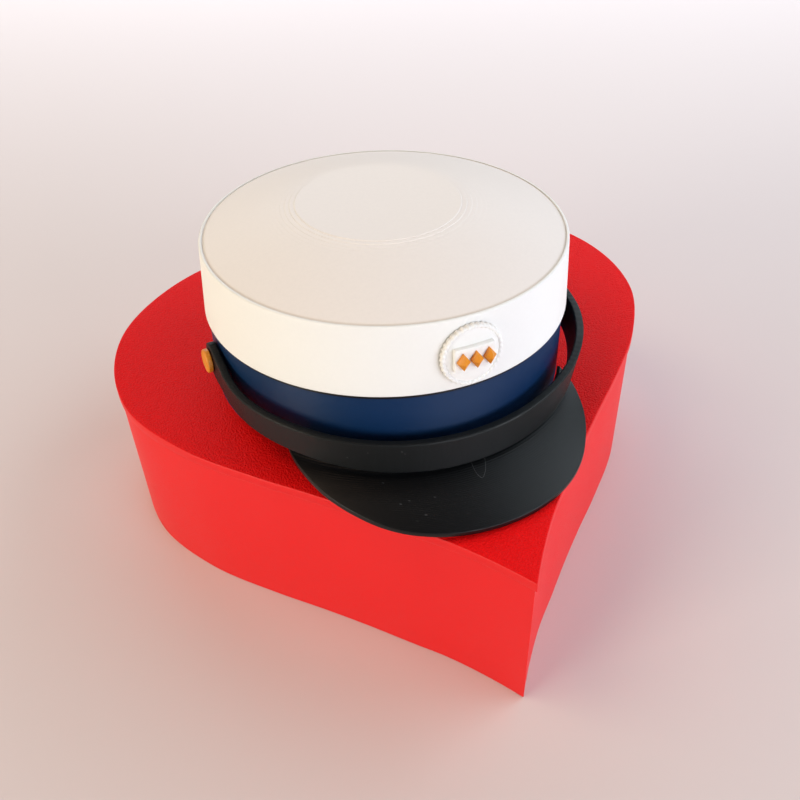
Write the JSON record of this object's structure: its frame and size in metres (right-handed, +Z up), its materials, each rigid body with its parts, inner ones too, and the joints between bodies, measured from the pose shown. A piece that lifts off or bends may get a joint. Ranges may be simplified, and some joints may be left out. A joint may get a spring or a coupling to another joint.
{
  "type": "miniature student cap on a heart-shaped box",
  "caption": "Gift-sized student cap with domed white crown, navy band, chin strap and black peak, resting on a heart-shaped lidded box.",
  "frame": {"origin": "on the surface that the box stands on, under the middle of the band's foot", "axes": "+Z up; the cap's front and its peak face -Y; +X is the wearer's left"},
  "size_m": [0.1637, 0.1643, 0.1032],
  "materials": {
    "white_plastic": "satin printed plastic",
    "navy_plastic": "silky printed plastic",
    "black_plastic": "satin printed plastic with fine layer lines",
    "charcoal_plastic": "matte printed plastic",
    "gold_plastic": "silky gold-coloured printed plastic",
    "red_plastic": "matte printed plastic, grained on the lid's top"
  },
  "bodies": {
    "root": {"box_body": "red_plastic", "box_lid": "red_plastic", "crown": "white_plastic", "crown_top": "white_plastic", "band": "navy_plastic", "chin_strap": "charcoal_plastic", "strap_button_left": "gold_plastic", "strap_button_right": "gold_plastic", "peak": "black_plastic", "cockade": "white_plastic", "cockade_plaque": "white_plastic", "badge_stud_left": "gold_plastic", "badge_stud_middle": "gold_plastic", "badge_stud_right": "gold_plastic"}
  },
  "joints": []
}
